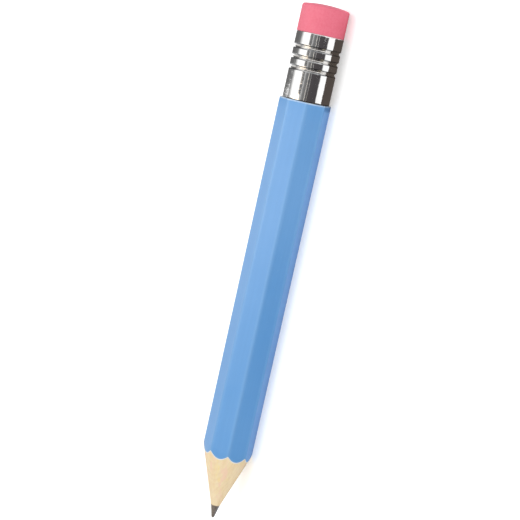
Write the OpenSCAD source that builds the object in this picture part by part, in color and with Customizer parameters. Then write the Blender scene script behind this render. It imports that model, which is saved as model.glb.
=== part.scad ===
// A jumbo wooden pencil that lies on one of its eight flats.
// The pencil is drawn upright, with its blunt tip at zero height and its eraser on top, and is then
// laid down along X. The origin is under the middle of its length, on the surface that it rests on.

/* [Body] */
// Length from the blunt tip to the top of the eraser
overall_length = 384; // [300:1:460]
// Distance between two opposite flats of the painted body
across_flats = 34.6; // [26:0.1:44]
// Amount that rounding takes off each long corner
corner_soften = 0.12; // [0.04:0.02:0.3]
// Angle between the axis and the sharpened wood
sharpen_angle = 18.7; // [15:0.1:24]

/* [Core] */
// Diameter of the graphite core
core_d = 6.9; // [4:0.1:9]
// Angle between the axis and the side of the bare graphite, which is ground slimmer than the wood
point_angle = 14; // [11:0.1:15]
// Radius of the blunt nose on the graphite point
nose_r = 1.1; // [0.6:0.1:1.8]

/* [Glue and finish] */
// Thickness of the glue between the slats and round the core
glue_t = 0.1; // [0.05:0.01:0.25]
// Thickness of the primer on the wood
primer_t = 0.12; // [0.06:0.01:0.3]
// Thickness of the colour coat on the primer
colour_t = 0.25; // [0.1:0.01:0.5]

/* [Ferrule] */
// Length of the metal sleeve
ferrule_length = 47.2; // [38:0.1:60]
// Thickness of the sleeve's sheet metal
ferrule_wall = 0.5; // [0.3:0.05:0.8]
// Height of the body's flats over the sleeve
ferrule_inset = 0.25; // [0.02:0.01:1]
// Number of rolled grooves that grip the eraser and the wood
groove_count = 3; // [2:1:3]
// Distance from the sleeve's top rim to the middle of the first groove
groove_margin = 10.4; // [7:0.1:13]
// Distance from one groove to the next
groove_pitch = 7.4; // [6:0.1:8.4]
// Width of a groove at the sleeve's surface
groove_width = 2.7; // [2:0.1:3.4]
// Depth of a groove
groove_depth = 1.2; // [0.6:0.1:1.4]
// Width of the sleeve's lengthwise butt seam
seam_gap = 0.25; // [0.1:0.05:0.6]
// Angle of the seam round the axis, counted from the resting flat
seam_angle = 241; // [0:1:359]

/* [Eraser] */
// Height of the eraser over the sleeve
eraser_height = 21; // [12:0.1:28]
// Step between the sleeve's side and the eraser's side
eraser_inset = 0.15; // [0.1:0.05:0.4]
// Radius of the eraser's rounded top edge
eraser_round = 1.8; // [0.8:0.1:4]
// Height of the eraser's domed top over its rounded edge
eraser_crown = 1.4; // [0.4:0.1:4]
// Space between the eraser's spigot and the end of the wood
spigot_gap = 0.6; // [0.2:0.1:1.5]

/* [Fits] */
// Clearance between the sleeve and what it grips
grip_clearance = 0.05; // [0.02:0.01:0.15]

/* [Hidden] */
$fn = 96;
sides = 8;
arc_step = 10;
dome_steps = 6;
overlap = 1;

// Radii
half_flats = across_flats / 2;
corner_r = half_flats / cos(180 / sides) - corner_soften;
core_r = core_d / 2;
core_groove_r = core_r + glue_t;
wood_inset = primer_t + colour_t;
ferrule_r = half_flats - ferrule_inset;
bore_r = ferrule_r - ferrule_wall;
tenon_r = bore_r - grip_clearance;
eraser_r = ferrule_r - eraser_inset;

// A groove is an arc through its two edges and its bottom
groove_arc_r = (pow(groove_width / 2, 2) + pow(groove_depth, 2)) / (2 * groove_depth);
groove_centre_r = ferrule_r + groove_arc_r - groove_depth;

// Heights over the tip
wood_z = nose_r + (core_r - nose_r / cos(point_angle)) / tan(point_angle);
top_z = overall_length;
ferrule_top_z = top_z - eraser_height;
shoulder_z = ferrule_top_z - ferrule_length;
lowest_groove_z = groove_z(groove_count - 1);
joint_z = lowest_groove_z + groove_pitch / 2;
tenon_top_z = joint_z - spigot_gap / 2;
spigot_base_z = joint_z + spigot_gap / 2;

function groove_z(i) = ferrule_top_z - groove_margin - i * groove_pitch;
function arc_point(r, centre, a) = centre + r * [cos(a), sin(a)];

// Lays the upright pencil down on a flat, with its point towards -X
module lie_down() {
    translate([-overall_length / 2, 0, half_flats])
        rotate([0, 90, 0])
            children();
}

// The body's eight-sided bar with softened corners, set in by the thickness of the layers over it
module bar(inset, from_z, to_z) {
    bar_r = (half_flats - inset) / cos(180 / sides);
    translate([0, 0, from_z])
        intersection() {
            rotate(180 / sides)
                cylinder(r = bar_r, h = to_z - from_z, $fn = sides);
            cylinder(r = corner_r - inset, h = to_z - from_z);
        }
}

// Everything that the sharpener leaves: the blunt nose, the bare core, the wooden cone, and the full
// bar behind it
module sharpened_space() {
    clear_r = corner_r + overlap;
    clear_z = wood_z + (clear_r - core_r) / tan(sharpen_angle);
    nose = [
        for (a = [-90 + arc_step : arc_step : -point_angle])
            arc_point(nose_r, [0, nose_r], a)
    ];
    cones = [arc_point(nose_r, [0, nose_r], -point_angle), [core_r, wood_z], [clear_r, clear_z]];
    rotate_extrude()
        polygon(concat([[0, 0]], nose, cones, [[clear_r, top_z], [0, top_z]]));
}

// One rolled groove as a ring, grown by the thickness of what lies in it
module groove_ring(i, grow) {
    translate([0, 0, groove_z(i)])
        rotate_extrude()
            translate([groove_centre_r, 0])
                circle(r = groove_arc_r + grow);
}

// A round rod with the sleeve's grooves in it
module grooved_rod(r, grow, from_z, to_z) {
    difference() {
        translate([0, 0, from_z])
            cylinder(r = r, h = to_z - from_z);
        for (i = [0 : groove_count - 1])
            groove_ring(i, grow);
    }
}

// The wood as one piece: sharpened bar, and the turned tenon that the sleeve grips
module wood_blank() {
    intersection() {
        bar(wood_inset, 0, shoulder_z);
        sharpened_space();
    }
    grooved_rod(tenon_r, ferrule_wall + grip_clearance, shoulder_z - overlap, tenon_top_z);
}

// Half of the wood, on one side of the glue line; side is -1 for the upper half and 1 for the lower
module slat(side) {
    width = 2 * corner_r;
    difference() {
        intersection() {
            wood_blank();
            translate([side * (width + glue_t) / 2, 0, top_z / 2])
                cube([width, width, top_z], center = true);
        }
        cylinder(r = core_groove_r, h = top_z);
    }
}

// A painted layer over the flats, cut by the sharpener into one scallop for each flat
module coat(inset, thickness) {
    intersection() {
        difference() {
            bar(inset, 0, shoulder_z);
            bar(inset + thickness, -overlap, top_z);
        }
        sharpened_space();
    }
}

module upper_slat() {
    color("#f0d6a8") lie_down() slat(-1);
}

module lower_slat() {
    color("#ecd0a0") lie_down() slat(1);
}

module glue_film() {
    color("#d9c69a") lie_down()
        difference() {
            intersection() {
                wood_blank();
                union() {
                    translate([0, 0, top_z / 2])
                        cube([glue_t, 2 * corner_r, top_z], center = true);
                    cylinder(r = core_groove_r, h = top_z);
                }
            }
            cylinder(r = core_r, h = top_z);
        }
}

module graphite_core() {
    color("#5a5250") lie_down()
        intersection() {
            cylinder(r = core_r, h = tenon_top_z);
            sharpened_space();
        }
}

module primer_coat() {
    color("#f2efe6") lie_down() coat(colour_t, primer_t);
}

module colour_coat() {
    color("#78a8dc") lie_down() coat(0, colour_t);
}

module ferrule() {
    seam_depth = ferrule_r - (groove_centre_r - groove_arc_r) + 2 * ferrule_wall + overlap;
    color("#c9c9c9") lie_down()
        difference() {
            grooved_rod(ferrule_r, 0, shoulder_z, ferrule_top_z);
            grooved_rod(bore_r, ferrule_wall, shoulder_z - overlap, ferrule_top_z + overlap);
            rotate(seam_angle)
                translate([ferrule_r + overlap - seam_depth, -seam_gap / 2, shoulder_z - overlap])
                    cube([seam_depth, seam_gap, ferrule_length + 2 * overlap]);
        }
}

module eraser() {
    edge_r = eraser_r - eraser_round;
    edge_z = top_z - eraser_crown - eraser_round;
    // The domed top and the rounded edge are arcs that meet without a corner
    reach = (pow(edge_r, 2) + pow(eraser_crown, 2)) / (2 * eraser_crown);
    slope = asin(edge_r / reach);
    edge = [for (a = [0 : arc_step : 90 - slope]) arc_point(eraser_round, [edge_r, edge_z], a)];
    dome = [
        for (i = [0 : dome_steps])
            arc_point(reach + eraser_round, [0, edge_z + eraser_crown - reach], 90 - slope + slope * i / dome_steps)
    ];
    color("#f2758a") lie_down() {
        rotate_extrude()
            polygon(concat([[0, ferrule_top_z], [eraser_r, ferrule_top_z]], edge, dome));
        grooved_rod(tenon_r, ferrule_wall + grip_clearance, spigot_base_z, ferrule_top_z + overlap);
    }
}

upper_slat();
lower_slat();
glue_film();
graphite_core();
primer_coat();
colour_coat();
ferrule();
eraser();
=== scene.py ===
from math import acos, asin, atan2, ceil, cos, degrees, hypot, pi, radians, sin, sqrt, tan

import bmesh
import bpy
from mathutils import Matrix, Vector, noise


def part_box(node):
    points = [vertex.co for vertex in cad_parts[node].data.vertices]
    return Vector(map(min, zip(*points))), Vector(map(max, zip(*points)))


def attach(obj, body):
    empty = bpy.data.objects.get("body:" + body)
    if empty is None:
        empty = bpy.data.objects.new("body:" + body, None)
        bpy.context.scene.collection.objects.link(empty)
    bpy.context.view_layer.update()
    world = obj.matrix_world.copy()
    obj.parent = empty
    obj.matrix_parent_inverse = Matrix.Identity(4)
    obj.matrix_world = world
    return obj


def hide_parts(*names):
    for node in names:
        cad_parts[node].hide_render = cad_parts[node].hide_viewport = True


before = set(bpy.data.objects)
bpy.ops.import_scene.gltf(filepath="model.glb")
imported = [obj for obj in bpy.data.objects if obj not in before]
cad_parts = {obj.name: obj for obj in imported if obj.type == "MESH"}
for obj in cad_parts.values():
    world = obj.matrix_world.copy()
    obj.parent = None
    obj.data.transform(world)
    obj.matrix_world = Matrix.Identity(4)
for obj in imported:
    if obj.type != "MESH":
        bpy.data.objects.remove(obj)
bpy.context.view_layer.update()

MM = 0.001
BODY = "root"

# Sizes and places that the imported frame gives. The pencil lies along X with its point at -X.
coat_low, coat_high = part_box("colour_coat")
primer_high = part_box("primer_coat")[1]
glue_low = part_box("glue_film")[0]
slat_low, slat_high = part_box("upper_slat")
core_low, core_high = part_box("graphite_core")
ferrule_low, ferrule_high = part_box("ferrule")
eraser_low, eraser_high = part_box("eraser")

FLATS = 8
HALF_CORNER = pi / FLATS
AXIS_HEIGHT = (coat_low.z + coat_high.z) / 2
HALF_FLATS = (coat_high.z - coat_low.z) / 2
COAT_THICKNESS = coat_high.z - primer_high.z
CORE_R = (core_high.y - core_low.y) / 2
FERRULE_R = (ferrule_high.y - ferrule_low.y) / 2
ERASER_R = (eraser_high.y - eraser_low.y) / 2
WOOD_INSET = coat_high.z - slat_high.z
GLUE = 2 * (slat_low.z - AXIS_HEIGHT)

# The sharpened wood's cone, from where it meets the core and where it meets the inside of the paint
CONE_SLOPE = (HALF_FLATS - COAT_THICKNESS - CORE_R) / (coat_low.x - glue_low.x)
APEX_X = glue_low.x - CORE_R / CONE_SLOPE


def height(x):
    """Height of a place along the pencil over the cone's sharp apex, as in the upright pieces."""
    return x - APEX_X


TIP_H = height(core_low.x)
BARE_CORE_H = height(glue_low.x)
SHOULDER_H = height(coat_high.x)
TENON_TOP_H = height(slat_high.x)
FERRULE_TOP_H = height(ferrule_high.x)
SPIGOT_H = height(eraser_low.x)
TOP_H = height(eraser_high.x)

# Sizes of the visible finish
CORNER_ROUND = 1.6 * MM
SHOULDER_ROUND = 0.8 * MM
SHOULDER_REACH = 0.66 * MM
PAINT_RAGGED = 0.16 * MM
PAINT_SETBACK = 0.4 * MM
CUT_REACH = 0.5 * MM
CUT_OFFSET = Vector((0.28, -0.115, 0)) * MM
NOSE_R = 1.1 * MM
ERASER_EDGE = 1.8 * MM
ERASER_CROWN = 1.4 * MM
ERASER_FOOT = 0.5 * MM
SPIGOT_EASE = 1.08

# The ferrule's rolled grooves, what they press into, its seam and its rims
GROOVE_MARGIN = 10.4 * MM
GROOVE_PITCH = 7.4 * MM
GROOVE_COUNT = 3
GROOVE_HALF = 1.75 * MM
GROOVE_DEPTH = 1.2 * MM
GRIP_HALF = 2.2 * MM
GRIP_DEPTH = GROOVE_DEPTH + 0.1 * MM
SHEET = 0.5 * MM
GRIP_CLEARANCE = 0.05 * MM
TENON_R = FERRULE_R - SHEET - GRIP_CLEARANCE
SEAM_ANGLE = radians(241)
SEAM_WIDTH = 1.7 * MM
SEAM_EDGE = 0.42 * MM
SEAM_STEP = 0.07 * MM
SEAM_WANDER = 0.22 * MM
DENT_FADE = 0.05 * MM
RIM_TURN = 0.33 * MM
RIM_LENGTH = 0.7 * MM

# How finely the wood and its coats are cut
CORNER_SEGMENTS = 8
FLAT_CUTS = 15
BODY_CUTS = 40
CONE_CUTS = 48
SHOULDER_CUTS = 6

# How finely the round pieces are cut. The ferrule is cut more finely where its seam runs.
CORE_STEPS = 96
NOSE_STEPS = 14
BARE_STEPS = 12
ERASER_STEPS = 144
DOME_STEPS = 12
EDGE_STEPS = 10
SIDE_STEPS = 12
FOOT_STEPS = 6
SPIGOT_STEPS = 60
RING_SPACING = 0.25 * MM
FINE_TURN = radians(10)
FINE_STEPS = 40
COARSE_STEPS = 150

# Painted shade, with some grime, darkens the lips of the grooves: where, and how far it spreads, in halves
# of a groove's width
LIP_DARK_OFF = 0.84
LIP_DARK_REACH = 0.30
LIP_SHADE_AND_GRIME = "groove_lip_shade_and_grime"
BURR = "seam_burr"

# Distances under which places count as the same, and meshes are welded
TOUCH = 0.01 * MM
WELD = 0.001 * MM


# ---------------------------------------------------------------- modelling helpers

def lay_down(bm):
    """Turns an upright piece, apex at zero, onto its resting flat with its point at -X."""
    turn = Matrix(((0, 0, 1), (0, 1, 0), (-1, 0, 0))).to_4x4()
    place = Matrix.Translation((APEX_X, 0, AXIS_HEIGHT)) @ turn
    bmesh.ops.transform(bm, matrix=place, verts=bm.verts)


def finish_piece(bm, name, material, slot, *nodes, sharp=35):
    """Makes the mesh an object of the pencil: laid down, normals outwards, on its body, with its material.
    The slot argument is not used.
    """
    lay_down(bm)
    bmesh.ops.remove_doubles(bm, verts=bm.verts, dist=WELD / 2)
    bmesh.ops.recalc_face_normals(bm, faces=bm.faces)
    mesh = bpy.data.meshes.new(name)
    bm.to_mesh(mesh)
    bm.free()
    mesh.polygons.foreach_set("use_smooth", [True] * len(mesh.polygons))
    mesh.set_sharp_from_angle(angle=radians(sharp))
    mesh.materials.append(material)
    piece = bpy.data.objects.new(name, mesh)
    bpy.context.scene.collection.objects.link(piece)
    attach(piece, BODY)
    if nodes:
        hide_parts(*nodes)
    return piece


def made(result, kind):
    """The elements of one kind that an operator made."""
    return [e for e in result["geom"] if isinstance(e, kind)]


def radius(co):
    """Distance of a place from the axis of an upright piece."""
    return Vector((co.x, co.y)).length


def octagon_face(bm, inset):
    """The body's rounded eight-sided outline as one face, with cuts across each flat."""
    corner_r = (HALF_FLATS - inset) / cos(HALF_CORNER)
    bmesh.ops.create_circle(bm, cap_ends=True, segments=FLATS, radius=corner_r)
    bmesh.ops.rotate(bm, verts=bm.verts, matrix=Matrix.Rotation(HALF_CORNER, 3, "Z"))
    rounding = CORNER_ROUND - inset
    bmesh.ops.bevel(
        bm, geom=list(bm.verts), affect="VERTICES", offset=rounding * tan(HALF_CORNER),
        offset_type="OFFSET", segments=CORNER_SEGMENTS, profile=0.5, material=-1,
    )
    long_edges = [e for e in bm.edges if e.calc_length() > HALF_FLATS / 3]
    bmesh.ops.subdivide_edges(bm, edges=long_edges, cuts=FLAT_CUTS)
    return bm.faces[:][0]


def ragged(co):
    """Small wander of a sharpened paint edge, along the cone."""
    return PAINT_RAGGED * (noise.noise(co * 260) + 0.6 * noise.noise(co * 900))


def cut_height(co, setback=0):
    """Height at which the sharpener, a trifle off centre and blunt, cuts through the body at a place."""
    return radius(co - CUT_OFFSET) / CONE_SLOPE - CUT_REACH + setback


def shoulder_inset(h):
    """How far the rounded shoulder has drawn the body's outline in at a height."""
    near = SHOULDER_REACH - (SHOULDER_H - h)
    return SHOULDER_ROUND - sqrt(SHOULDER_ROUND ** 2 - near ** 2) if near > 0 else 0


def round_shoulder(bm):
    """Rounds the end of the body that the ferrule stands on."""
    for i in range(1, SHOULDER_CUTS + 1):
        place = (0, 0, SHOULDER_H - SHOULDER_REACH * i / SHOULDER_CUTS)
        geom = list(bm.verts) + list(bm.edges) + list(bm.faces)
        bmesh.ops.bisect_plane(bm, geom=geom, plane_co=place, plane_no=(0, 0, 1))
    for v in bm.verts:
        if v.co.z < SHOULDER_H + TOUCH and radius(v.co) > HALF_FLATS - 2 * WOOD_INSET:
            scale = 1 - shoulder_inset(v.co.z) / HALF_FLATS
            v.co.x *= scale
            v.co.y *= scale


# ---------------------------------------------------------------- pieces

def make_coat(name, inset, thickness, setback, material, slot, node):
    """A layer over the flats: a thin eight-sided sleeve that the sharpener cut into scallops."""
    bm = bmesh.new()
    outline = octagon_face(bm, inset)
    bmesh.ops.inset_region(
        bm, faces=[outline], thickness=thickness, use_even_offset=True, use_boundary=True,
    )
    inner = max(bm.faces, key=lambda f: len(f.verts))
    bmesh.ops.delete(bm, geom=[inner], context="FACES_ONLY")
    low_ring = list(bm.verts)
    upper = bmesh.ops.extrude_face_region(bm, geom=list(bm.faces), use_keep_orig=True)
    bmesh.ops.translate(bm, vec=(0, 0, SHOULDER_H), verts=made(upper, bmesh.types.BMVert))
    for v in low_ring:
        v.co.z = cut_height(v.co, setback) + ragged(v.co)
    long_edges = [e for e in bm.edges if e.calc_length() > SHOULDER_H / 2]
    bmesh.ops.subdivide_edges(bm, edges=long_edges, cuts=BODY_CUTS)
    round_shoulder(bm)
    return finish_piece(bm, name, material, slot, node)


def make_blank():
    """The wood in one piece: bare cone, eight-sided body, round tenon, and the core's bore."""
    bm = bmesh.new()
    octagon_face(bm, WOOD_INSET)
    bmesh.ops.delete(bm, geom=list(bm.faces), context="FACES_ONLY")
    paint_ring = list(bm.verts)
    edges = list(bm.edges)

    def extrude(ring_edges, move):
        result = bmesh.ops.extrude_edge_only(bm, edges=ring_edges)
        verts = made(result, bmesh.types.BMVert)
        for v in verts:
            v.co = move(v.co)
        return [e for e in made(result, bmesh.types.BMEdge) if all(v in verts for v in e.verts)]

    def circle(r, h):
        return lambda co: Vector((co.x * r / radius(co), co.y * r / radius(co), h))

    bore_r = CORE_R + GLUE
    nose = extrude(edges, circle(bore_r, bore_r / CONE_SLOPE))
    for v in paint_ring:
        v.co.z = cut_height(v.co)
    cone_edges = [e for e in bm.edges if abs(e.verts[0].co.z - e.verts[1].co.z) > 2 * CORE_R]
    shoulder = extrude(edges, lambda co: Vector((co.x, co.y, SHOULDER_H)))
    bmesh.ops.subdivide_edges(bm, edges=cone_edges, cuts=CONE_CUTS)
    ring = extrude(shoulder, circle(TENON_R, SHOULDER_H))
    grip_h = FERRULE_TOP_H - GROOVE_MARGIN - (GROOVE_COUNT - 1) * GROOVE_PITCH
    for off in (-1, -0.75, -0.5, -0.25, 0, 0.25, 0.5, 0.75, 1):
        pressed = GRIP_DEPTH * cos(off * pi / 2) ** 2
        ring = extrude(ring, circle(TENON_R - pressed, grip_h + off * GRIP_HALF))
    ring = extrude(ring, circle(TENON_R, TENON_TOP_H))
    ring = extrude(ring, circle(bore_r, TENON_TOP_H))
    bmesh.ops.bridge_loops(bm, edges=ring + nose)
    round_shoulder(bm)
    return bm


def make_slat(name, side, material, node):
    """One half of the wood, cut from the blank on one side of the glue; side is -1 above and 1 below."""
    bm = make_blank()
    geom = list(bm.verts) + list(bm.edges) + list(bm.faces)
    cut = bmesh.ops.bisect_plane(
        bm, geom=geom, plane_co=(side * GLUE / 2, 0, 0), plane_no=(side, 0, 0), clear_inner=True,
    )
    rim = [e for e in cut["geom_cut"] if isinstance(e, bmesh.types.BMEdge)]
    bmesh.ops.edgeloop_fill(bm, edges=rim)
    return finish_piece(bm, name, material, "wood", node)


def spin_profile(bm, points, steps):
    """Turns a profile of (radius, height) points about the axis into a closed round shape."""
    verts = [bm.verts.new((r, 0, h)) for r, h in points]
    edges = [bm.edges.new(pair) for pair in zip(verts, verts[1:])]
    bmesh.ops.spin(
        bm, geom=verts + edges, cent=(0, 0, 0), axis=(0, 0, 1), angle=2 * pi, steps=steps,
        use_merge=True, use_duplicate=False,
    )
    bmesh.ops.remove_doubles(bm, verts=bm.verts, dist=WELD)


def arc(centre, r, start, end, steps):
    """Points of a round stretch, from one angle to another in degrees."""
    turns = [radians(start + (end - start) * i / steps) for i in range(steps + 1)]
    return [(centre[0] + r * cos(a), centre[1] + r * sin(a)) for a in turns]


def make_core():
    """The graphite core: its bare end is ground slimmer than the wood, and writing has blunted it."""
    bm = bmesh.new()
    nose_h = TIP_H + NOSE_R
    rise = BARE_CORE_H - nose_h
    point_angle = acos(NOSE_R / hypot(CORE_R, rise)) - atan2(rise, CORE_R)
    nose = arc((0, nose_h), NOSE_R, -90, -degrees(point_angle), NOSE_STEPS)
    start_r, start_h = nose[-1]
    bare = [
        (start_r + (CORE_R - start_r) * i / BARE_STEPS, start_h + (BARE_CORE_H - start_h) * i / BARE_STEPS)
        for i in range(1, BARE_STEPS + 1)
    ]
    end_h = height(core_high.x)
    spin_profile(bm, nose + bare + [(CORE_R, end_h), (0, end_h)], steps=CORE_STEPS)
    return finish_piece(bm, "graphite_point", graphite(), "graphite", "graphite_core")


def groove_off(h):
    """Distance from the middle of the nearest rolled groove, counted in halves of its width."""
    middles = [FERRULE_TOP_H - GROOVE_MARGIN - i * GROOVE_PITCH for i in range(GROOVE_COUNT)]
    return min(abs(h - middle) for middle in middles) / GROOVE_HALF


def groove_depth(h):
    """Depth of the rolled grooves at a height on the ferrule."""
    return GROOVE_DEPTH * cos(min(groove_off(h), 1) * pi / 2) ** 2


def seam_share(angle, h):
    """How far the folded lock seam, a narrow raised strip with wandering edges, has risen: 0 to 1."""
    wander = SEAM_WANDER * noise.noise(Vector((0, 3, h * 420)))
    off = abs((angle - SEAM_ANGLE) * FERRULE_R + wander) - SEAM_WIDTH / 2
    edge = 0.5 - off / SEAM_EDGE
    share = min(max(edge, 0), 1)
    return share * share * (3 - 2 * share)


def dent(co):
    """Shallow unevenness that rolling leaves in thin sheet."""
    return 0.035 * MM * noise.noise(co * 95) + 0.012 * MM * noise.noise(co * 420)


def make_ferrule():
    """The rolled sheet sleeve: grooves all round, edges turned in a little, and a lock seam along it."""
    bm = bmesh.new()
    length = FERRULE_TOP_H - SHOULDER_H
    count = ceil(length / RING_SPACING)
    heights = [SHOULDER_H + length * i / count for i in range(count + 1)]
    outer = []
    for h in heights:
        near = max(1 - min(h - SHOULDER_H, FERRULE_TOP_H - h) / RIM_LENGTH, 0)
        turn = RIM_TURN * (1 - sqrt(1 - near * near))
        outer.append((FERRULE_R - SEAM_STEP - groove_depth(h) - turn, h))
    inner = [(FERRULE_R - SHEET - groove_depth(h), h) for h in reversed(heights[::4])]
    verts = [bm.verts.new((r, 0, h)) for r, h in outer + inner]
    edges = [bm.edges.new(pair) for pair in zip(verts, verts[1:] + verts[:1])]
    bmesh.ops.rotate(bm, verts=verts, matrix=Matrix.Rotation(SEAM_ANGLE - FINE_TURN / 2, 3, "Z"))
    profile = verts + edges
    for angle, steps in ((FINE_TURN, FINE_STEPS), (2 * pi - FINE_TURN, COARSE_STEPS)):
        turned = bmesh.ops.spin(
            bm, geom=profile, cent=(0, 0, 0), axis=(0, 0, 1), angle=angle, steps=steps, use_duplicate=False,
        )
        profile = turned["geom_last"]
    bmesh.ops.remove_doubles(bm, verts=bm.verts, dist=WELD)
    burr = bm.verts.layers.float.new(BURR)
    lip_shade_and_grime = bm.verts.layers.float.new(LIP_SHADE_AND_GRIME)
    for v in bm.verts:
        v[lip_shade_and_grime] = max(1 - abs(groove_off(v.co.z) - LIP_DARK_OFF) / LIP_DARK_REACH, 0)
        r = radius(v.co)
        share = seam_share(atan2(v.co.y, v.co.x) % (2 * pi), v.co.z)
        v[burr] = 4 * share * (1 - share)
        inside = r < FERRULE_R - SHEET - groove_depth(v.co.z) + TOUCH
        move = 0 if inside else SEAM_STEP * share + dent(v.co) * min(1, (FERRULE_R - r) / DENT_FADE)
        v.co.x *= 1 + move / r
        v.co.y *= 1 + move / r
    return finish_piece(bm, "ferrule_sleeve", chrome(), "ferrule", "ferrule", sharp=50)


def make_eraser():
    """The rubber plug: a domed head with a rounded edge, and the spigot that the ferrule grips."""
    bm = bmesh.new()
    edge = (ERASER_R - ERASER_EDGE, TOP_H - ERASER_CROWN - ERASER_EDGE)
    reach = (edge[0] ** 2 + ERASER_CROWN ** 2) / (2 * ERASER_CROWN)
    lean = degrees(asin(edge[0] / reach))
    dome = arc((0, edge[1] + ERASER_CROWN - reach), reach + ERASER_EDGE, 90, 90 - lean, DOME_STEPS)
    top = arc(edge, ERASER_EDGE, 90 - lean, 0, EDGE_STEPS)
    foot = arc((ERASER_R - ERASER_FOOT, FERRULE_TOP_H + ERASER_FOOT), ERASER_FOOT, 0, -90, FOOT_STEPS)
    rise = edge[1] - foot[0][1]
    side = [(ERASER_R, edge[1] - rise * i / SIDE_STEPS) for i in range(1, SIDE_STEPS)]
    length = FERRULE_TOP_H - SPIGOT_H
    heights = [FERRULE_TOP_H - length * i / SPIGOT_STEPS for i in range(SPIGOT_STEPS + 1)]
    spigot = [(TENON_R - SPIGOT_EASE * groove_depth(h), h) for h in heights]
    spin_profile(bm, dome + top[1:] + side + foot + spigot + [(0, SPIGOT_H)], steps=ERASER_STEPS)
    return finish_piece(bm, "eraser_plug", rubber(), "eraser", "eraser")


# ---------------------------------------------------------------- materials

class Nodes:
    """Short ways to place and join nodes in a material or a group."""

    def __init__(self, tree):
        self.tree = tree

    def add(self, kind, **values):
        """A new node, with its settings or else its inputs set by their names."""
        node = self.tree.nodes.new("ShaderNode" + kind)
        for key, value in values.items():
            if hasattr(node, key):
                setattr(node, key, value)
            else:
                node.inputs[key.replace("_", " ")].default_value = value
        return node

    def link(self, source, target):
        self.tree.links.new(source, target)

    def axis(self, source, name):
        """One axis of a vector."""
        split = self.add("SeparateXYZ")
        self.link(source, split.inputs[0])
        return split.outputs[name]


def new_group(name, inputs, outputs):
    """An empty shader group with named number or vector sockets."""
    tree = bpy.data.node_groups.new(name, "ShaderNodeTree")
    for socket, kind, value in inputs:
        entry = tree.interface.new_socket(socket, in_out="INPUT", socket_type="NodeSocket" + kind)
        if value is not None:
            entry.default_value = value
    for socket in outputs:
        tree.interface.new_socket(socket, in_out="OUTPUT", socket_type="NodeSocketFloat")
    return tree, Nodes(tree), tree.nodes.new("NodeGroupInput"), tree.nodes.new("NodeGroupOutput")


def streaks_group():
    """Lengthwise streaks, from fibres or drawing: 0 to 1 round a middle of one half."""
    tree, n, given, out = new_group(
        "streaks",
        [("Vector", "Vector", None), ("Fineness", "Float", 900), ("Length", "Float", 0.03)],
        ["Value"],
    )
    stretch = n.add("CombineXYZ", Y=1, Z=1)
    n.link(given.outputs["Length"], stretch.inputs["X"])
    place = n.add("VectorMath", operation="MULTIPLY")
    n.link(given.outputs["Vector"], place.inputs[0])
    n.link(stretch.outputs[0], place.inputs[1])
    texture = n.add("TexNoise", Detail=4, Roughness=0.6)
    n.link(place.outputs[0], texture.inputs["Vector"])
    n.link(given.outputs["Fineness"], texture.inputs["Scale"])
    n.link(texture.outputs["Fac"], out.inputs["Value"])
    return tree


def mottle_group():
    """Slow unevenness: a value that wanders between Low and High."""
    tree, n, given, out = new_group(
        "mottle",
        [("Vector", "Vector", None), ("Scale", "Float", 60), ("Low", "Float", 0), ("High", "Float", 1)],
        ["Value"],
    )
    texture = n.add("TexNoise", Detail=3, Roughness=0.55)
    n.link(given.outputs["Vector"], texture.inputs["Vector"])
    n.link(given.outputs["Scale"], texture.inputs["Scale"])
    spread = n.add("MapRange")
    spread.inputs["From Min"].default_value = 0.3
    spread.inputs["From Max"].default_value = 0.7
    n.link(texture.outputs["Fac"], spread.inputs["Value"])
    n.link(given.outputs["Low"], spread.inputs["To Min"])
    n.link(given.outputs["High"], spread.inputs["To Max"])
    n.link(spread.outputs[0], out.inputs["Value"])
    return tree


def specks_group():
    """Scattered small round specks, such as dust nibs or pits: 1 in a speck and 0 between."""
    tree, n, given, out = new_group(
        "specks", [("Vector", "Vector", None), ("Scale", "Float", 400), ("Size", "Float", 0.2)], ["Mask"],
    )
    cells = n.add("TexVoronoi", feature="F1")
    n.link(given.outputs["Vector"], cells.inputs["Vector"])
    n.link(given.outputs["Scale"], cells.inputs["Scale"])
    picked = n.add("SeparateColor")
    n.link(cells.outputs["Color"], picked.inputs[0])
    size = n.add("Math", operation="MULTIPLY")
    n.link(picked.outputs[0], size.inputs[0])
    n.link(given.outputs["Size"], size.inputs[1])
    inside = n.add("MapRange", interpolation_type="SMOOTHSTEP")
    n.link(cells.outputs["Distance"], inside.inputs["Value"])
    n.link(size.outputs[0], inside.inputs["From Max"])
    inside.inputs["To Min"].default_value = 1
    inside.inputs["To Max"].default_value = 0
    n.link(inside.outputs[0], out.inputs["Mask"])
    return tree


def round_group():
    """Distance from the pencil's axis, and how near a point is to one of the long corners, 0 to 1."""
    tree, n, given, out = new_group("about_the_axis", [("Vector", "Vector", None)], ["Radius", "Corner"])
    split = n.add("SeparateXYZ")
    n.link(given.outputs["Vector"], split.inputs[0])
    up = n.add("Math", operation="SUBTRACT")
    n.link(split.outputs["Z"], up.inputs[0])
    up.inputs[1].default_value = AXIS_HEIGHT
    across = n.add("CombineXYZ")
    n.link(split.outputs["Y"], across.inputs["Y"])
    n.link(up.outputs[0], across.inputs["Z"])
    length = n.add("VectorMath", operation="LENGTH")
    n.link(across.outputs[0], length.inputs[0])
    n.link(length.outputs["Value"], out.inputs["Radius"])
    angle = n.add("Math", operation="ARCTAN2")
    n.link(up.outputs[0], angle.inputs[0])
    n.link(split.outputs["Y"], angle.inputs[1])
    flats = n.add("Math", operation="MULTIPLY")
    n.link(angle.outputs[0], flats.inputs[0])
    flats.inputs[1].default_value = FLATS
    wave = n.add("Math", operation="COSINE")
    n.link(flats.outputs[0], wave.inputs[0])
    corner = n.add("MapRange", interpolation_type="SMOOTHSTEP")
    n.link(wave.outputs[0], corner.inputs["Value"])
    corner.inputs["From Min"].default_value = -0.6
    corner.inputs["From Max"].default_value = -1.0
    n.link(corner.outputs[0], out.inputs["Corner"])
    return tree


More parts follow.
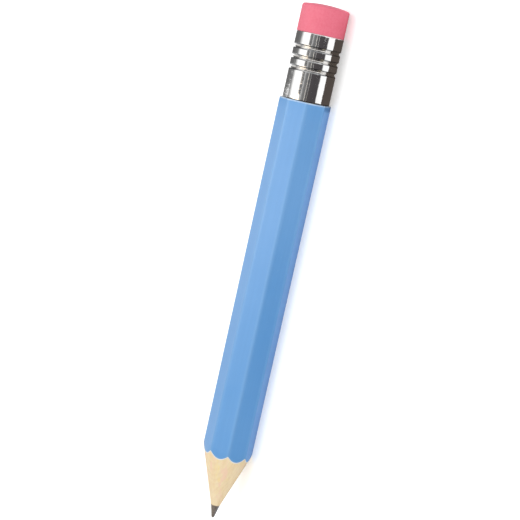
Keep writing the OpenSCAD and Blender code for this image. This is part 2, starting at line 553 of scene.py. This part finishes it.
GROUPS = {
    "streaks": streaks_group(),
    "mottle": mottle_group(),
    "specks": specks_group(),
    "about_the_axis": round_group(),
}


class Finish(Nodes):
    """The node tree of one material, with its Principled shader and its Object coordinates."""

    def __init__(self, name):
        self.material = bpy.data.materials.new(name)
        self.material.use_nodes = True
        super().__init__(self.material.node_tree)
        self.shader = self.tree.nodes["Principled BSDF"]
        self.place = self.add("TexCoord").outputs["Object"]

    def group(self, name, output, **values):
        """An output of a shared group at this place, with its other sockets set by their names."""
        node = self.tree.nodes.new("ShaderNodeGroup")
        node.node_tree = GROUPS[name]
        self.link(self.place, node.inputs["Vector"])
        for key, value in values.items():
            node.inputs[key.capitalize()].default_value = value
        return node.outputs[output]

    def mix(self, share, low, high, kind="MIX"):
        """Mixes two colours, each a colour or an output, by an output or a plain number."""
        node = self.tree.nodes.new("ShaderNodeMix")
        node.data_type = "RGBA"
        node.blend_type = kind
        for socket, value in ((0, share), (6, low), (7, high)):
            if isinstance(value, tuple):
                node.inputs[socket].default_value = (*value, 1)
            elif isinstance(value, (int, float)):
                node.inputs[socket].default_value = value
            else:
                self.link(value, node.inputs[socket])
        return node.outputs[2]

    def math(self, operation, *values):
        """One step of arithmetic on numbers or outputs."""
        node = self.add("Math", operation=operation)
        for socket, value in zip(node.inputs, values):
            if isinstance(value, (int, float)):
                socket.default_value = value
            else:
                self.link(value, socket)
        return node.outputs[0]

    def span(self, value, low, high, to_low=0.0, to_high=1.0):
        """Maps a range of a value smoothly onto another range."""
        node = self.add("MapRange", interpolation_type="SMOOTHSTEP")
        self.link(value, node.inputs["Value"])
        for key, number in (("From Min", low), ("From Max", high), ("To Min", to_low), ("To Max", to_high)):
            node.inputs[key].default_value = number
        return node.outputs[0]

    def bump(self, relief, depth, below=None):
        """Adds relief of a depth in metres, on top of any relief below it."""
        node = self.add("Bump", Strength=1.0, Distance=depth)
        self.link(relief, node.inputs["Height"])
        if below:
            self.link(below, node.inputs["Normal"])
        return node.outputs["Normal"]

    def set(self, **values):
        """Sets the shader's inputs by their names, each to a value or an output."""
        for key, value in values.items():
            socket = self.shader.inputs[key.replace("_", " ")]
            if isinstance(value, tuple):
                socket.default_value = (*value, 1)
            elif isinstance(value, (int, float)):
                socket.default_value = value
            else:
                self.link(value, socket)
        return self.material


def lacquer():
    """Sky-blue satin lacquer: grain shows through it faintly, and it is paler on the corners and the cut
    edge, with a highlight painted along the rounded shoulder."""
    f = Finish("sky_blue_lacquer")
    tone = f.group("mottle", "Value", scale=22.0)
    streak = f.group("streaks", "Value", fineness=520.0, length=0.02)
    blue = f.mix(tone, (0.112, 0.343, 0.710), (0.130, 0.366, 0.735))
    blue = f.mix(f.span(streak, 0.35, 0.7, 0.0, 0.35), blue, (0.104, 0.322, 0.680))
    blue = f.mix(f.math("MULTIPLY", f.group("about_the_axis", "Corner"), 0.22), blue, (0.270, 0.500, 0.790))
    nib = f.group("specks", "Mask", scale=210.0, size=0.13)
    blue = f.mix(f.math("MULTIPLY", nib, 0.35), blue, (0.32, 0.53, 0.80))
    cut = f.span(f.axis(f.add("TexCoord").outputs["Normal"], "X"), -0.15, -0.3)
    blue = f.mix(cut, blue, (0.20, 0.41, 0.70))
    # Painted highlight: a pale band along the rounded shoulder under the ferrule.
    shoulder_highlight = f.span(f.axis(f.place, "X"), coat_high.x - 1.3 * MM, coat_high.x - 0.6 * MM)
    shoulder_highlight = f.math("MULTIPLY", shoulder_highlight, f.group("mottle", "Value", scale=240.0, low=0.35, high=0.75))
    blue = f.mix(shoulder_highlight, blue, (0.62, 0.76, 0.90))
    peel = f.group("mottle", "Value", scale=950.0)
    normal = f.bump(peel, 0.012 * MM)
    normal = f.bump(streak, 0.02 * MM, normal)
    normal = f.bump(nib, 0.04 * MM, normal)
    rough = f.group("mottle", "Value", scale=75.0, low=0.30, high=0.40)
    return f.set(
        Base_Color=blue, Roughness=f.math("MAXIMUM", rough, f.math("MULTIPLY", cut, 0.7)),
        Coat_Weight=0.5, Coat_Roughness=0.28, Normal=normal,
    )


def primer():
    """Thin chalky undercoat, seen as a pale line where the sharpener cut it."""
    f = Finish("pale_primer")
    chalk = f.mix(f.group("mottle", "Value", scale=300.0), (0.80, 0.78, 0.72), (0.88, 0.86, 0.80))
    normal = f.bump(f.group("streaks", "Value", fineness=900.0, length=0.05), 0.02 * MM)
    return f.set(Base_Color=chalk, Roughness=0.75, Normal=normal)


def wood(name, pith_y, pith_z):
    """Pale basswood: faint growth rings about a distant pith, fine fibres, and pink and yellow streaks."""
    f = Finish(name)
    wander = f.add("TexNoise", Scale=14.0, Detail=3)
    f.link(f.place, wander.inputs["Vector"])
    shift = f.mix(0.02, f.place, wander.outputs["Color"], "ADD")
    from_pith = f.add("Mapping", vector_type="POINT")
    from_pith.inputs["Location"].default_value = (0, -pith_y, -pith_z)
    from_pith.inputs["Scale"].default_value = (0.04, 1, 1)
    f.link(shift, from_pith.inputs["Vector"])
    reach = f.add("VectorMath", operation="LENGTH")
    f.link(from_pith.outputs[0], reach.inputs[0])
    ring = f.math("FRACT", f.math("MULTIPLY", reach.outputs["Value"], 460))
    faint = f.group("mottle", "Value", scale=35.0, low=0.05, high=0.28)
    late = f.math("MULTIPLY", f.span(ring, 0.3, 0.95), faint)
    fibre = f.group("streaks", "Value", fineness=1900.0, length=0.035)
    broad = f.group("streaks", "Value", fineness=330.0, length=0.09)
    pale = f.mix(f.span(broad, 0.35, 0.65), (0.90, 0.705, 0.425), (0.93, 0.765, 0.50))
    pale = f.mix(late, pale, (0.80, 0.57, 0.35))
    pink = f.span(f.group("streaks", "Value", fineness=210.0, length=0.16), 0.50, 0.66)
    pale = f.mix(f.math("MULTIPLY", pink, 0.75), pale, (0.94, 0.655, 0.48))
    gold = f.span(f.group("streaks", "Value", fineness=150.0, length=0.22), 0.54, 0.70)
    pale = f.mix(f.math("MULTIPLY", gold, 0.8), pale, (0.93, 0.735, 0.31))
    pale = f.mix(f.span(fibre, 0.55, 0.75, 0.0, 0.3), pale, (0.74, 0.52, 0.31))
    pore = f.group("specks", "Mask", scale=900.0, size=0.16)
    pale = f.mix(f.math("MULTIPLY", pore, 0.25), pale, (0.66, 0.45, 0.26))
    turning = f.add("TexWave", wave_type="BANDS", bands_direction="X", Scale=260.0, Distortion=1.2, Detail=2)
    f.link(f.place, turning.inputs["Vector"])
    normal = f.bump(fibre, 0.05 * MM)
    normal = f.bump(turning.outputs["Fac"], 0.012 * MM, normal)
    return f.set(
        Base_Color=pale, Roughness=f.group("mottle", "Value", scale=200.0, low=0.55, high=0.72),
        Normal=normal, Specular_IOR_Level=0.3,
    )


def glue():
    """Cured wood glue between the two slats, a shade darker than the wood."""
    f = Finish("cured_glue")
    amber = f.mix(f.group("mottle", "Value", scale=400.0), (0.55, 0.38, 0.20), (0.66, 0.48, 0.28))
    normal = f.bump(f.group("streaks", "Value", fineness=1200.0, length=0.1), 0.01 * MM)
    return f.set(Base_Color=amber, Roughness=0.5, Normal=normal)


def graphite():
    """Dark warm grey graphite: burnished streaks, the sharpener's fine rings, and small grains."""
    f = Finish("graphite")
    tone = f.group("mottle", "Value", scale=420.0)
    shade = f.mix(tone, (0.210, 0.176, 0.148), (0.345, 0.294, 0.250))
    grain = f.group("specks", "Mask", scale=2600.0, size=0.35)
    shade = f.mix(f.math("MULTIPLY", grain, 0.5), shade, (0.36, 0.33, 0.31))
    rings = f.add("TexWave", wave_type="BANDS", bands_direction="X", Scale=700.0, Distortion=2.0, Detail=3)
    f.link(f.place, rings.inputs["Vector"])
    normal = f.bump(rings.outputs["Fac"], 0.02 * MM)
    normal = f.bump(tone, 0.03 * MM, normal)
    rough = f.group("mottle", "Value", scale=900.0, low=0.36, high=0.52)
    return f.set(Base_Color=shade, Metallic=0.35, Roughness=rough, Normal=normal)


def chrome():
    """Bright plated sheet: fine drawing lines, smudges, a matt burr along the seam, darkening towards the
    bottoms of the grooves, painted shade with grime on their lips, and painted shade at the lower rim."""
    f = Finish("bright_plated_sheet")
    smudge = f.group("mottle", "Value", scale=130.0)
    plate = f.mix(smudge, (0.76, 0.755, 0.75), (0.82, 0.815, 0.81))
    # Darker, browner and rougher towards the bottoms of the grooves.
    deep = f.span(f.group("about_the_axis", "Radius"), FERRULE_R - 0.45 * MM, FERRULE_R - 1.1 * MM)
    groove_floor_dark = f.math("MULTIPLY", deep, f.group("mottle", "Value", scale=260.0, low=0.2, high=0.9))
    plate = f.mix(f.math("MULTIPLY", groove_floor_dark, 0.3), plate, (0.42, 0.33, 0.22))
    # Painted shade with some grime: dark bands on the lips of the grooves.
    lip = f.span(f.add("Attribute", attribute_name=LIP_SHADE_AND_GRIME).outputs["Fac"], 0.05, 0.6)
    lip_shade_and_grime = f.math("MULTIPLY", lip, f.group("mottle", "Value", scale=190.0, low=0.35, high=0.95))
    plate = f.mix(lip_shade_and_grime, plate, (0.105, 0.115, 0.125))
    # Painted shade: the lower rim is darkened where it meets the body, as in a shadowed gap.
    rim = f.span(f.axis(f.place, "X"), ferrule_low.x + 1.1 * MM, ferrule_low.x + 0.5 * MM)
    rim_gap_shade = f.math("MULTIPLY", rim, f.group("mottle", "Value", scale=420.0, low=0.7, high=1.0))
    plate = f.mix(rim_gap_shade, plate, (0.06, 0.055, 0.05))
    line = f.group("streaks", "Value", fineness=2400.0, length=0.02)
    wave = f.group("mottle", "Value", scale=110.0)
    peen = f.group("mottle", "Value", scale=620.0)
    normal = f.bump(wave, 0.03 * MM)
    normal = f.bump(peen, 0.008 * MM, normal)
    normal = f.bump(line, 0.0016 * MM, normal)
    edge = f.add("Attribute", attribute_name=BURR).outputs["Fac"]
    burr = f.math("MULTIPLY", edge, f.group("mottle", "Value", scale=300.0, low=0.35, high=0.75))
    polish = f.group("mottle", "Value", scale=160.0, low=0.05, high=0.11)
    rough = f.math("ADD", polish, f.math("MAXIMUM", f.math("MULTIPLY", groove_floor_dark, 0.2), burr))
    return f.set(Base_Color=plate, Metallic=1.0, Roughness=rough, Normal=normal)


def rubber():
    """Pink eraser rubber: slightly uneven, finely pitted, with painted shade greying its top rim."""
    f = Finish("pink_rubber")
    tone = f.group("mottle", "Value", scale=45.0)
    pink = f.mix(tone, (0.79, 0.136, 0.205), (0.84, 0.168, 0.245))
    fine = f.group("mottle", "Value", scale=700.0)
    pink = f.mix(f.math("MULTIPLY", fine, 0.18), pink, (0.95, 0.33, 0.40))
    # Painted shade: the rubber turns greyer towards its top rim.
    rim = f.span(f.axis(f.place, "X"), eraser_high.x - 2.2 * MM, eraser_high.x - 0.3 * MM)
    top_rim_shade = f.math("MULTIPLY", rim, f.group("mottle", "Value", scale=180.0, low=0.25, high=0.75))
    pink = f.mix(f.math("MULTIPLY", top_rim_shade, 0.6), pink, (0.52, 0.22, 0.28))
    pit = f.group("specks", "Mask", scale=520.0, size=0.22)
    pink = f.mix(f.math("MULTIPLY", pit, 0.4), pink, (0.62, 0.11, 0.17))
    normal = f.bump(fine, 0.05 * MM)
    normal = f.bump(f.math("SUBTRACT", 1.0, pit), 0.06 * MM, normal)
    return f.set(
        Base_Color=pink, Roughness=f.group("mottle", "Value", scale=240.0, low=0.62, high=0.8),
        Specular_IOR_Level=0.35, Normal=normal,
    )


# ---------------------------------------------------------------- camera, stage and light

# How the pencil stands in the picture: where its sharp apex is seen from, and how its axis leans
SEEN_APEX = Vector((-35.35, -191.7, -980.5)) * MM
LEAN_RIGHT = radians(12.52)
LEAN_NEAR = radians(9.66)
CORNER_TURN = radians(4.21)
LENS = 91.0

# Levels and sizes of the studio
AMBIENT = 0.76
SOFTBOX_LEVEL = 1.0
FILL_LEVEL = 0.8
FLOOR_LIFT = 0.45
FLOOR_HALF = 3.0
STUDIO_HALF = 2.0
SOFTBOX_Z = 0.8
WALL_Y = 0.95
WALL_TOP = 1.6
POINT_END = -1.25
POINT_END_TOP = 1.1

# How high the cards on the table lie, each over the one before it
GROUND_CARD = 0.3 * MM
GLOW_CARD = 0.35 * MM
FERRULE_CARD = 0.4 * MM

# What the cards show
BODY_SHEEN = (4.8, 4.2, 3.4)
BODY_GLOW = (0.74, 0.64, 0.44)
# A painted blue reflection, in place of the shaded table under the body
UNDER_BODY = (0.52, 0.70, 1.05)
# The pencil's contact shadow, painted as a dark card under the ferrule
PAINTED_CONTACT_SHADE = (0.115, 0.094, 0.083)
DIM = (0.100, 0.092, 0.096)


def basis(*columns):
    """The turn that has these axes as its columns."""
    return Matrix(columns).transposed()


def make_camera():
    """Looks at the pencil so that it stands upright, leaning right, with one long corner towards us."""
    along = Vector((cos(LEAN_NEAR) * sin(LEAN_RIGHT), cos(LEAN_NEAR) * cos(LEAN_RIGHT), sin(LEAN_NEAR)))
    towards = (along * SEEN_APEX.dot(along) - SEEN_APEX).normalized()
    right = along.cross(towards)
    corner = towards * cos(CORNER_TURN) + right * sin(CORNER_TURN)
    pencil_along = Vector((1, 0, 0))
    pencil_corner = Vector((0, -cos(HALF_CORNER), sin(HALF_CORNER)))
    seen = basis(along, corner, along.cross(corner))
    real = basis(pencil_along, pencil_corner, pencil_along.cross(pencil_corner))
    turn = real @ seen.inverted()
    apex = Vector((APEX_X, 0, AXIS_HEIGHT))
    data = bpy.data.cameras.new("camera")
    data.lens = LENS
    data.sensor_width = 36
    data.clip_start = 0.01
    camera = bpy.data.objects.new("camera", data)
    camera.matrix_world = Matrix.Translation(apex - turn @ SEEN_APEX) @ turn.to_4x4()
    bpy.context.scene.collection.objects.link(camera)
    bpy.context.scene.camera = camera


def stage_sheet(name, corners, material):
    """A flat piece of the studio."""
    bm = bmesh.new()
    bm.faces.new([bm.verts.new(c) for c in corners])
    mesh = bpy.data.meshes.new(name)
    bm.to_mesh(mesh)
    bm.free()
    mesh.materials.append(material)
    sheet = bpy.data.objects.new(name, mesh)
    bpy.context.scene.collection.objects.link(sheet)
    return sheet


def shown_rays(n):
    """1 for a ray from the camera, and for one that metal or glass sends on; 0 for the light that falls."""
    path = n.add("LightPath")
    either = n.add("Math", operation="MAXIMUM")
    n.link(path.outputs["Is Camera Ray"], either.inputs[0])
    n.link(path.outputs["Is Glossy Ray"], either.inputs[1])
    shown = n.add("Math", operation="MAXIMUM")
    n.link(either.outputs[0], shown.inputs[0])
    n.link(path.outputs["Is Transmission Ray"], shown.inputs[1])
    return shown.outputs[0]


def make_floor():
    """A plain white table that keeps the pencil's shadow."""
    f = Finish("pale_floor")
    lift = f.math("MULTIPLY", shown_rays(f), FLOOR_LIFT)
    f.set(
        Base_Color=(0.86, 0.86, 0.86), Roughness=0.9, Specular_IOR_Level=0.1,
        Emission_Color=(1.0, 1.0, 1.0), Emission_Strength=lift,
    )
    stage_sheet("floor", level_strip(-FLOOR_HALF, FLOOR_HALF, -FLOOR_HALF, FLOOR_HALF, 0), f.material)


def make_card(name, corners, shade, *levels):
    """A card of one shade that only shows in what is glossy. A level is (axis, start, end, colour): the card
    turns to that colour from one place along the axis to the other, over the colours before it."""
    f = Finish(name)
    for axis, start, end, colour in levels:
        shade = f.mix(f.span(f.axis(f.place, axis), start, end), shade, colour)
    shade = f.mix(f.group("mottle", "Value", scale=2.2, low=0.0, high=0.25), shade, (0.0, 0.0, 0.0))
    f.set(
        Base_Color=(0.0, 0.0, 0.0), Specular_IOR_Level=0.0, Emission_Color=shade, Emission_Strength=1.0,
    )
    card = stage_sheet(name, corners, f.material)
    card.visible_camera = False
    card.visible_diffuse = False
    card.visible_shadow = False
    card.visible_transmission = False


def upright(y, low, high):
    """Corners of a wall along the pencil."""
    half = STUDIO_HALF
    return [(-half, y, low), (half, y, low), (half, y, high), (-half, y, high)]


def level_strip(x_low, x_high, y_low, y_high, z):
    """Corners of a level strip."""
    return [(x_low, y_low, z), (x_high, y_low, z), (x_high, y_high, z), (x_low, y_high, z)]


def grey(level):
    return (level, level, level)


def make_lamp(name, radiance, width, depth, place, turn):
    """A soft rectangular lamp that lights the object and isn't itself seen in it."""
    data = bpy.data.lights.new(name, "AREA")
    data.shape = "RECTANGLE"
    data.size = width
    data.size_y = depth
    data.energy = radiance * pi * width * depth
    lamp = bpy.data.objects.new(name, data)
    lamp.location = place
    lamp.rotation_euler = turn
    lamp.visible_camera = False
    lamp.visible_glossy = False
    bpy.context.scene.collection.objects.link(lamp)


def make_studio():
    """White surroundings, a softbox overhead, a weaker one in front, and cards that shape reflections."""
    world = bpy.data.worlds.new("studio")
    bpy.context.scene.world = world
    world.use_nodes = True
    n = Nodes(world.node_tree)
    background = world.node_tree.nodes["Background"]
    background.inputs["Color"].default_value = (1, 1, 1, 1)
    level = n.add("MapRange")
    level.inputs["To Min"].default_value = AMBIENT
    level.inputs["To Max"].default_value = 1.0
    n.link(shown_rays(n), level.inputs["Value"])
    n.link(level.outputs[0], background.inputs["Strength"])
    make_lamp("softbox", SOFTBOX_LEVEL, 0.90, 0.73, (0.22, 0.02, SOFTBOX_Z), (0, 0, 0))
    make_lamp("front_fill", FILL_LEVEL, 1.30, 0.80, (0, -1.2, 0.35), (radians(75), 0, 0))
    make_overhead_cards()
    make_wall_cards()
    make_table_cards()


def make_overhead_cards():
    """The softbox as it shows in the lacquer, and below it as it shows in the ferrule."""
    left, right, front, back = -1.2, 0.60, -0.46, 0.57
    ferrule_left, ferrule_front, ferrule_z = 0.088, -0.50, SOFTBOX_Z - 0.01
    make_card(
        "softbox_sheen", level_strip(left, right, front, back, SOFTBOX_Z),
        grey(1.0), ("Y", front, -0.36, BODY_SHEEN), ("Y", 0.05, 0.15, grey(1.3)),
        ("Y", 0.15, back, grey(0.25)), ("X", 0.0, -0.36, grey(0.10)),
    )
    make_card(
        "ferrule_sheen", level_strip(ferrule_left, right, ferrule_front, back, ferrule_z),
        grey(0.22), ("Y", -0.33, -0.235, grey(1.6)), ("Y", 0.12, back, grey(0.25)),
    )


def make_wall_cards():
    """Walls in front, behind, and at the pencil's point end."""
    make_card(
        "front_wall", upright(-WALL_Y, 0, WALL_TOP),
        DIM, ("Z", 0.40, 0.80, grey(0.25)), ("Z", 1.05, 1.65, grey(1.0)), ("X", 0.25, 0.45, grey(1.0)),
    )
    make_card(
        "back_wall", upright(WALL_Y, 0, WALL_TOP),
        grey(0.19), ("Z", 0.4, 1.3, grey(0.26)), ("X", 0.092, 0.07, grey(1.2)),
        ("X", 0.0, -0.45, grey(0.95)),
    )
    corners = [(POINT_END, y, z) for y, z in
               ((-WALL_Y, 0), (WALL_Y, 0), (WALL_Y, POINT_END_TOP), (-WALL_Y, POINT_END_TOP))]
    make_card("point_end_wall", corners, grey(0.10))


def make_table_cards():
    """What the lower sides of the body and of the ferrule show of the table, with a painted blue
    reflection under the body and a painted contact shadow under the ferrule.
    """
    front_edge = -0.019
    ferrule_edge = -0.0265
    glow_edge = -0.082
    back_edge = 0.03
    make_card(
        "front_ground",
        level_strip(-STUDIO_HALF, ferrule_high.x + 8 * MM, -WALL_Y, front_edge, GROUND_CARD),
        grey(0.0), ("X", -0.02, 0.05, BODY_GLOW), ("X", 0.108, 0.118, DIM), ("Y", -0.10, -0.20, DIM),
    )
    # Painted reflection: a blue card under the body in place of the shaded table, seen only in the lacquer.
    make_card(
        "under_body", level_strip(-STUDIO_HALF, ferrule_low.x - 4 * MM, front_edge, back_edge, GROUND_CARD),
        UNDER_BODY,
    )
    make_card(
        "front_glow",
        level_strip(ferrule_low.x - 1 * MM, ferrule_high.x + 4 * MM, glow_edge, ferrule_edge, GLOW_CARD),
        DIM, ("Y", -0.077, -0.060, grey(1.5)),
    )
    # Painted contact shadow: a dark card under the ferrule, seen only in its reflection.
    make_card(
        "painted_contact_shade",
        level_strip(ferrule_low.x - 4 * MM, ferrule_high.x + 2 * MM, ferrule_edge, back_edge, FERRULE_CARD),
        PAINTED_CONTACT_SHADE,
    )


# ---------------------------------------------------------------- the scene

make_camera()
make_floor()
make_studio()

make_coat("lacquer_sleeve", 0, COAT_THICKNESS, PAINT_SETBACK, lacquer(), "colour_coat", "colour_coat")
make_coat("primer_sleeve", COAT_THICKNESS, WOOD_INSET - COAT_THICKNESS, 0, primer(), "primer", "primer_coat")
make_slat("upper_wood", -1, wood("upper_basswood", pith_y=0.045, pith_z=-0.05), "upper_slat")
make_slat("lower_wood", 1, wood("lower_basswood", pith_y=-0.06, pith_z=0.07), "lower_slat")
make_core()
make_ferrule()
make_eraser()
for slot_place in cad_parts["glue_film"].material_slots:
    slot_place.material = glue()

bpy.context.scene.view_settings.view_transform = "Standard"
